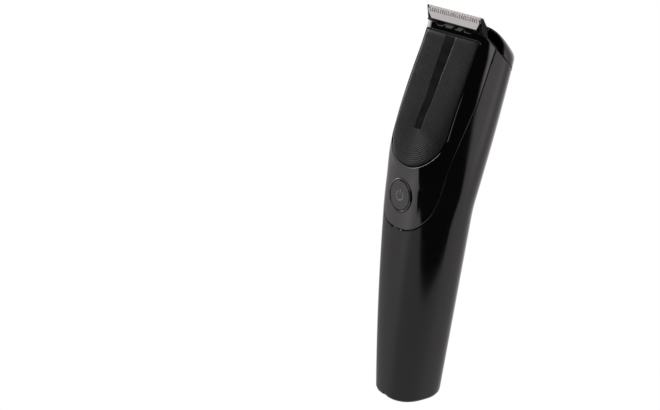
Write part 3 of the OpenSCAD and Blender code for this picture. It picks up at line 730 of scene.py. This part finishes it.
for node_name, material in NODE_MATERIALS.items():
    node_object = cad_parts[node_name]
    node_object.data.materials.clear()
    node_object.data.materials.append(material)
    bevel = node_object.modifiers.new("soft_edges", "BEVEL")
    bevel.width = 0.06 * MM
    bevel.segments = 2
    bevel.limit_method = "ANGLE"
    bevel.angle_limit = math.radians(40)


def finish_piece(obj, body_name, slot_name, *nodes):
    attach(obj, body_name)
    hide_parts(*nodes)
    return obj


# ---------------------------------------------------------------- shells
CHAMFER_W, CHAMFER_SLOPE = 0.8, 0.9
SOCKET_D, SOCKET_WALL = 5.5, 1.2


def make_cover():
    outline = cover_outline()
    panel = closed(front_outline(panel_half(PANEL_GAP, PANEL_GAP), HEAD_FRAME))
    bezel = closed(front_outline(circle_half(BEZEL_D / 2), BUTTON_FRAME))
    builder = Builder()
    skin = Skin(outline, (panel, bezel), pitch=0.9, edge=0.2, layers=(0.06, 0.14, 0.3, 0.66, 0.8, 0.92))
    below = panel[:, 1].max() - 1.0
    sides = [e for e in loop_edges(panel) if max(e[0][1], e[1][1]) < below]
    skin.chamfer(sides, CHAMFER_W, CHAMFER_SLOPE)
    skin.add_to(builder, skin.under(WALL))
    # The pocket that the panel lies in
    pocket = Skin(panel, pitch=1.2, edge=0.05, sink=GRIP_SINK + PANEL_T + 0.1, layers=())
    pocket.add_to(builder, pocket.under(WALL))
    obj = builder.build("front_cover_shell", [gloss])
    return finish_piece(obj, "handle", "black_gloss_plastic", "front_cover")


def make_housing():
    outline = housing_outline()
    grip = grip_outline(PANEL_GAP)

    def real(e):
        a, b = e
        on_cut = abs(abs(a[0]) - half_round(a[1])) < 0.05 and abs(abs(b[0]) - half_round(b[1])) < 0.05
        return not on_cut and max(a[1], b[1]) > 1e-6

    builder = Builder()
    skin = Skin(outline, (grip,), pitch=1.1, edge=0.3, from_back=True, real=real)
    inner = skin.under(WALL, FLOOR_T)
    skin.add_to(builder, inner, rims=False)
    floor_edge = skin.top[:, 2] < 1e-6
    edges = skin.rim_edges()
    edges = edges[~(floor_edge[edges[:, 0]] & floor_edge[edges[:, 1]])]
    a, b = edges.T
    rim = np.concatenate([skin.top[a], skin.top[b], inner[b], inner[a]])
    i = np.arange(len(edges))
    builder.add(rim, np.stack([i + len(i), i, i + 3 * len(i), i + 2 * len(i)], -1))
    pocket = Skin(grip, pitch=1.4, edge=0.05, sink=GRIP_SINK + GRIP_T + 0.1, from_back=True, layers=())
    pocket.add_to(builder, pocket.under(WALL))
    # The flat base, with the hole of the charging socket
    low = np.nonzero(floor_edge)[0]
    turn = skin.turn[low]
    order = np.argsort(turn)
    turn = turn[order]
    hole_r = SOCKET_D / 2 + SOCKET_WALL
    share = np.linspace(0, 1, 14)[:, None, None]
    hole = np.stack([hole_r * np.sin(turn), -hole_r * np.cos(turn), np.zeros_like(turn)], -1)
    under = body(turn, 0.0) * (1 - share) + hole * share
    above = body(turn, FLOOR_T, WALL) * (1 - share) + (hole + [0, 0, FLOOR_T]) * share
    builder.grid(under, close_v=True, smooth=False)
    builder.grid(above, close_v=True, smooth=False, flip=True)
    wall = np.stack([hole, hole + [0, 0, FLOOR_T]])
    builder.grid(wall, close_v=True)
    obj = builder.build("rear_housing_shell", [satin])
    return finish_piece(obj, "handle", "black_satin_plastic", "rear_housing")


def make_grip():
    builder = Builder()
    skin = Skin(grip_outline(0.0), pitch=0.8, edge=0.45, sink=GRIP_SINK - 0.25, from_back=True)
    skin.add_to(builder, skin.top - skin.normal * GRIP_T)
    obj = builder.build("rear_grip_pad", [grip_rubber])
    return finish_piece(obj, "handle", "black_matte_plastic", "rear_grip")


STRIP_TOP_W, STRIP_LOW_W, STRIP_END = 6.2, 4.4, PANEL_ARC - 1.0
RIB_PITCH, RIB_DEPTH, RIM_W = 0.82, 0.16, 1.2
STRIP_SINK, PANEL_EDGE = 0.12, 0.35


def make_panel():
    """A U-shaped grid whose rows run along the ribs."""
    r = PANEL_W / 2
    straight = np.linspace(-PANEL_BAND, PANEL_ARC, 70)
    arc = np.linspace(0, math.pi, 110)
    depth = np.concatenate([[0, 0.06, 0.14], np.arange(0.25, r, RIB_PITCH / 8), [r]])
    rows_x, rows_w = [], []
    for d in depth:
        q = r - d
        rows_x.append(np.concatenate([np.full(69, q), q * np.cos(arc), np.full(69, -q)]))
        rows_w.append(np.concatenate([straight[:-1], PANEL_ARC - q * np.sin(arc), straight[::-1][1:]]))
    x, w = np.array(rows_x), np.array(rows_w)
    inset_top = np.clip(-PANEL_BAND - w, 0, None)
    y0, z0, tilt = HEAD_FRAME
    z = z0 + w * math.cos(tilt)
    for _ in range(8):
        y = body(turn_across(x, z), z)[..., 1]
        z = z + (w - ((y - y0) * math.sin(tilt) + (z - z0) * math.cos(tilt))) / math.cos(tilt)
    turn = turn_across(x, z)
    normal = body_normal(turn, z)
    far = np.minimum(np.repeat(depth[:, None], x.shape[1], axis=1), inset_top)
    half = STRIP_LOW_W / 2 + (STRIP_TOP_W - STRIP_LOW_W) / 2 * ease((w - PANEL_ARC) / PANEL_L)
    in_strip = ease((half - np.abs(x)) / 0.12 + 0.5) * ease((w - STRIP_END) / 0.3)
    phase = (depth[:, None] - RIM_W) / RIB_PITCH
    rib = RIB_DEPTH * (0.5 - 0.5 * np.cos(2 * math.pi * phase))
    rib = rib * ease((far - RIM_W) / 0.1) * (1 - in_strip) + STRIP_SINK * in_strip
    lean = np.clip(1 - far / PANEL_EDGE, 0, 1)
    drop = PANEL_EDGE * (1 - np.sqrt(1 - lean ** 2))
    base = body(turn, z)
    top = base - normal * (GRIP_SINK + rib + drop)[..., None]
    low = base - normal * (GRIP_SINK + PANEL_T)
    builder = Builder()
    builder.grid(top, flip=True)
    builder.grid(low)
    builder.grid(np.stack([top[0], low[0]]), smooth=False)
    for k, flip in ((0, False), (-1, True)):
        builder.grid(np.stack([top[:, k], low[:, k]]), smooth=False, flip=flip)
    obj = builder.build("front_panel_plate", [panel_matte, panel_strip_painted_shade])
    # The strip down the middle has its own smoother finish, and a darker base colour that is painted shade
    # for the dark reflection of its smooth face
    mesh = obj.data
    centres = np.array([p.center for p in mesh.polygons]) / MM
    _, w_c = to_head(centres[:, 1], centres[:, 2])
    half_c = STRIP_LOW_W / 2 + (STRIP_TOP_W - STRIP_LOW_W) / 2 * ease((w_c - PANEL_ARC) / PANEL_L)
    is_strip = (np.abs(centres[:, 0]) < half_c) & (w_c > STRIP_END)
    mesh.polygons.foreach_set("material_index", is_strip.astype(int).tolist())
    return finish_piece(obj, "handle", "black_matte_plastic", "front_panel")


HOOD_WALL, NOTCH_Y = 1.5, 2.4
HOOD_OPENING = [[13.4, -12], [13.4, -4], [12.2, -0.8], [8.3, 1.6], [4.5, 2.4], [2.4, 2.33]]


def make_hood():
    """The hood's surface, laid out by length round the back and up the back profile."""
    climb_z = np.linspace(BODY_H - 30, TOP_Z, 4000)
    profile = np.stack([back_y(climb_z, 0), climb_z], -1)
    climb = np.concatenate([[0], np.cumsum(np.linalg.norm(np.diff(profile, axis=0), axis=1))])
    opening = np.array([from_head(y, z) for y, z in HOOD_OPENING])
    above = opening[:, 1] - mouth_z(opening[:, 0], MOUTH_GAP) > 0
    corner = smooth_curve(opening[above])
    first = opening[~above][-1]
    t = np.linspace(0, 1, 200)[:, None]
    run = first * (1 - t) + corner[0] * t
    run = run[run[:, 1] > mouth_z(run[:, 0], MOUTH_GAP)]
    side = np.concatenate([run, corner[1:]])
    w = np.linspace(2.33, 12, 3000)
    notch = np.array([from_head(NOTCH_Y, v) for v in w])
    notch = notch[notch[:, 0] < back_y(np.minimum(notch[:, 1], TOP_Z), 0) - 0.002]
    notch = notch[notch[:, 1] < TOP_Z]
    _, y_back = mouth_ends(MOUTH_GAP)
    mouth = mouth_curve(y_back, side[0, 0], MOUTH_GAP)
    curve = np.concatenate([mouth, side, notch[1:]])
    y, z = curve.T
    s = half_round(z) - along(turn_side(y, z), z)
    half = np.stack([s, np.interp(z, climb_z, climb)], -1)
    outline = closed(resample(half, 0.45))
    uv, tris = triangulate(outline, [], 0.7, (0.1, 0.25))
    edge = 0.28
    depth, toward = distance(loop_edges(outline), uv, edge)
    zz = np.interp(uv[:, 1], climb, climb_z)
    turn = np.where(uv[:, 0] >= 0, 1, -1) * (math.pi - np.abs(turn_from_back(uv[:, 0], zz)))
    normal = body_normal(turn, zz)
    base = body(turn, zz)
    lean = np.clip(1 - depth / edge, 0, 1)[:, None]
    du = body(turn + 1e-3, zz) - body(turn - 1e-3, zz)
    du /= np.maximum(np.linalg.norm(du, axis=1, keepdims=True), 1e-12)
    out = -toward[:, :1] * du + toward[:, 1:] * np.cross(normal, du)
    shade = normal * np.sqrt(1 - lean ** 2) + out * lean
    top = base - normal * edge * (1 - np.sqrt(1 - lean ** 2))
    inner = base - normal * HOOD_WALL
    faces = tris[:, ::-1]
    p = top[faces]
    if np.einsum("ij,ij->", np.cross(p[:, 1] - p[:, 0], p[:, 2] - p[:, 0]), normal[faces[:, 0]]) < 0:
        faces = tris
    builder = Builder()
    builder.add(top, faces, shade)
    builder.add(inner, faces[:, ::-1], -normal)
    e = open_edges(faces)
    a, b = e.T
    i = np.arange(len(e))
    builder.add(np.concatenate([top[a], top[b], inner[b], inner[a]]),
                np.stack([i + len(i), i, i + 3 * len(i), i + 2 * len(i)], -1))
    obj = builder.build("head_hood_shell", [satin])
    return finish_piece(obj, "head", "black_satin_plastic", "head_hood")


def lathe(builder, profile, slot=0, rings=96):
    """Turned shape about the button's axis, from (radius, height) points."""
    p = np.asarray(profile, float)
    t = np.linspace(0, 2 * math.pi, rings, endpoint=False)
    grid = button_point(p[:, :1] * np.cos(t), p[:, :1] * np.sin(t), p[:, 1:] * np.ones_like(t))
    builder.grid(grid, close_v=True, slot=slot, flip=True)


def rounded(points, r=0.15, steps=4):
    """A profile with its corners rounded."""
    p = np.asarray(points, float)
    out = [p[0]]
    for a, b, c in zip(p[:-2], p[1:-1], p[2:]):
        u, v = (a - b), (c - b)
        k = min(r, np.linalg.norm(u) / 2.2, np.linalg.norm(v) / 2.2)
        u, v = u / np.linalg.norm(u) * k, v / np.linalg.norm(v) * k
        for t in np.linspace(0, 1, steps + 1):
            out.append((1 - t) ** 2 * (b + u) + 2 * t * (1 - t) * b + t ** 2 * (b + v))
    return np.array(out + [p[-1]])


def make_button():
    builder = Builder()
    r = BUTTON_D / 2
    lathe(builder, rounded([[0.001, 0.12], [r * 0.55, 0.16], [r - 0.9, 0.3], [r - 0.1, 0.3], [r, 0.1],
                            [r, -1.8], [r - 0.6, -1.8], [r - 0.6, -2.7], [r + 0.6, -2.7],
                            [r + 0.6, -3.5], [1.8, -3.5], [1.8, -3.6], [0.001, -3.6]], 0.2))
    # The generic power sign: an open ring and a bar, with round edges; its light grey colour is a painted
    # highlight on the raised sign
    for path, width in power_sign_paths():
        ribbon(builder, path, width, 0.12, 0.3, slot=1)
    obj = builder.build("power_button_cap", [gloss, power_sign_painted_highlight])
    return finish_piece(obj, "button", "black_satin_plastic", "power_button")


def power_sign_paths():
    gap = math.radians(38)
    t = np.linspace(math.pi / 2 + gap, math.pi * 2.5 - gap, 70)
    ring = np.stack([2.1 * np.cos(t), 2.1 * np.sin(t)], -1)
    bar = np.stack([np.zeros(16), np.linspace(0.5, 2.75, 16)], -1)
    return (ring, 0.62), (bar, 0.62)


def ribbon(builder, path, width, low, high, slot=0):
    """A raised line with a rounded top on the button's face."""
    tangent = np.gradient(path, axis=0)
    across = np.stack([-tangent[:, 1], tangent[:, 0]], -1)
    across /= np.linalg.norm(across, axis=1, keepdims=True)
    t = np.linspace(0, math.pi, 9)
    side, up = np.cos(t) * width / 2, np.sin(t)
    grow = np.sqrt(np.clip(1 - np.linspace(-1, 1, len(path)) ** 16, 0.02, 1))
    x = path[:, :1] + across[:, :1] * side * grow[:, None]
    y = path[:, 1:] + across[:, 1:] * side * grow[:, None]
    h = low - 0.1 + (high - low + 0.1) * up[None, :] ** 0.6 * grow[:, None]
    top = button_point(x, y, h)
    builder.grid(top, slot=slot)
    floor = button_point(x[:, [0, -1]], y[:, [0, -1]], low - 0.1)
    builder.grid(floor, smooth=False, slot=slot, flip=True)


def make_bezel():
    builder = Builder()
    r0, r1 = BUTTON_D / 2 + 0.2, BEZEL_D / 2 - 0.02
    ring = rounded([[r0, -2.4], [r0, 0.05], [r0 + 0.2, 0.32], [r1 - 0.2, 0.32], [r1, 0.0], [r1, -2.4]], 0.14)
    lathe(builder, ring[::-1])
    lathe(builder, [[r0, -2.4], [r1, -2.4]])
    obj = builder.build("button_bezel_ring", [gloss])
    return finish_piece(obj, "handle", "black_gloss_plastic", "button_bezel")


make_cover()
make_housing()
make_grip()
make_panel()
make_hood()
make_button()
make_bezel()

# ---------------------------------------------------------------- light and backdrop
# A white room. Mirror-like surfaces see a broad dark screen in front of the clipper, in degrees.
# Its foot is lowest at bearing 0, which is +X, and rises with the square of the bearing up to a shelf.
# Between the two bearings of each ramp it climbs smoothly further, at the left and at the right.
SCREEN_LEFT, SCREEN_RIGHT, SCREEN_TOP = -150.0, 41.0, 38.0
SCREEN_FOOT, SCREEN_RISE, SCREEN_SHELF = -28.3, 0.0016, -15.0
LEFT_RAMP, LEFT_CLIMB = (-126, -98), 15.5
RIGHT_RAMP, RIGHT_CLIMB = (30, 46), 7.0
SCREEN_BLACK, ROOM_LIGHT, CEILING_LIGHT, SOFT_LIGHT = 0.004, 0.6, 0.2, 0.75


def world_light():
    world = bpy.data.worlds.new("studio")
    bpy.context.scene.world = world
    world.use_nodes = True
    nodes, links = world.node_tree.nodes, world.node_tree.links

    def calc(operation, *values, clamp=False):
        n = nodes.new("ShaderNodeMath")
        n.operation = operation
        n.use_clamp = clamp
        for k, v in enumerate(values):
            if isinstance(v, (int, float)):
                n.inputs[k].default_value = v
            else:
                links.new(v, n.inputs[k])
        return n.outputs[0]

    def step(value, low, high):
        n = nodes.new("ShaderNodeMapRange")
        n.interpolation_type = "SMOOTHSTEP"
        n.inputs["From Min"].default_value, n.inputs["From Max"].default_value = low, high
        links.new(value, n.inputs["Value"])
        return n.outputs["Result"]

    def spot(azimuth, elevation, wide, high, gain):
        """A soft patch in one direction, which darkens when its gain is negative."""
        a = calc("DIVIDE", calc("SUBTRACT", bearing, azimuth), wide)
        e = calc("DIVIDE", calc("SUBTRACT", height, elevation), high)
        r = calc("ADD", calc("MULTIPLY", a, a), calc("MULTIPLY", e, e))
        return calc("MULTIPLY", calc("EXPONENT", calc("MULTIPLY", r, -1.0)), gain)

    direction = nodes.new("ShaderNodeTexCoord").outputs["Generated"]
    split = nodes.new("ShaderNodeSeparateXYZ")
    links.new(direction, split.inputs[0])
    x, y, z = split.outputs
    bearing = calc("MULTIPLY", calc("ARCTAN2", y, x), 180 / math.pi)
    height = calc("MULTIPLY", calc("ARCSINE", z), 180 / math.pi)
    rise = calc("MULTIPLY", calc("MULTIPLY", bearing, bearing), SCREEN_RISE)
    foot = calc("MINIMUM", calc("ADD", rise, SCREEN_FOOT), SCREEN_SHELF)
    foot = calc("ADD", foot, calc("MULTIPLY", calc("SUBTRACT", 1.0, step(bearing, *LEFT_RAMP)), LEFT_CLIMB))
    foot = calc("ADD", foot, calc("MULTIPLY", step(bearing, *RIGHT_RAMP), RIGHT_CLIMB))
    edge = calc("SUBTRACT", height, foot)
    screen = calc("MULTIPLY", step(bearing, SCREEN_LEFT - 1.5, SCREEN_LEFT + 1.5),
                  calc("SUBTRACT", 1.0, step(bearing, SCREEN_RIGHT - 1, SCREEN_RIGHT + 1)))
    screen = calc("MULTIPLY", screen, step(edge, -0.8, 0.8))
    screen = calc("MULTIPLY", screen, calc("SUBTRACT", 1.0, step(height, SCREEN_TOP - 4, SCREEN_TOP + 4)))
    lit = calc("ADD", ROOM_LIGHT, calc("MULTIPLY", step(height, 20, 50), CEILING_LIGHT))
    # Soft patches: a bright one towards -X, in two parts because the bearing jumps there, one behind
    # the clipper as the camera sees it, and weak ones that even out what the gloss mirrors
    for azimuth, elevation, wide, high, gain in (
            (180, 13, 20, 12, 6.0), (-172, 13, 18, 12, 6.0), (120, 6, 32, 20, 2.6), (48, -9, 10, 9, 0.75),
            (50, -25, 14, 9, 0.1), (-122, -12, 12, 12, 0.3), (180, -22, 26, 12, -0.25),
            (-172, -22, 16, 12, -0.15)):
        lit = calc("ADD", lit, spot(azimuth, elevation, wide, high, gain))
    mirrored = calc("ADD", calc("MULTIPLY", calc("SUBTRACT", 1.0, screen), lit), SCREEN_BLACK)
    path = nodes.new("ShaderNodeLightPath")
    glossy, direct = path.outputs["Is Glossy Ray"], path.outputs["Is Camera Ray"]
    seen = calc("ADD", calc("MULTIPLY", glossy, mirrored), direct)
    soft = calc("SUBTRACT", 1.0, calc("ADD", glossy, direct))
    background = nodes["Background"]
    tint = nodes.new("ShaderNodeMix")
    tint.data_type = "RGBA"
    tint.inputs["A"].default_value = (1.0, 0.955, 0.985, 1)
    tint.inputs["B"].default_value = (1, 1, 1, 1)
    links.new(direct, tint.inputs["Factor"])
    links.new(tint.outputs["Result"], background.inputs["Color"])
    links.new(calc("ADD", seen, calc("MULTIPLY", soft, SOFT_LIGHT)), background.inputs["Strength"])


world_light()
bpy.context.scene.view_settings.view_transform = "Standard"
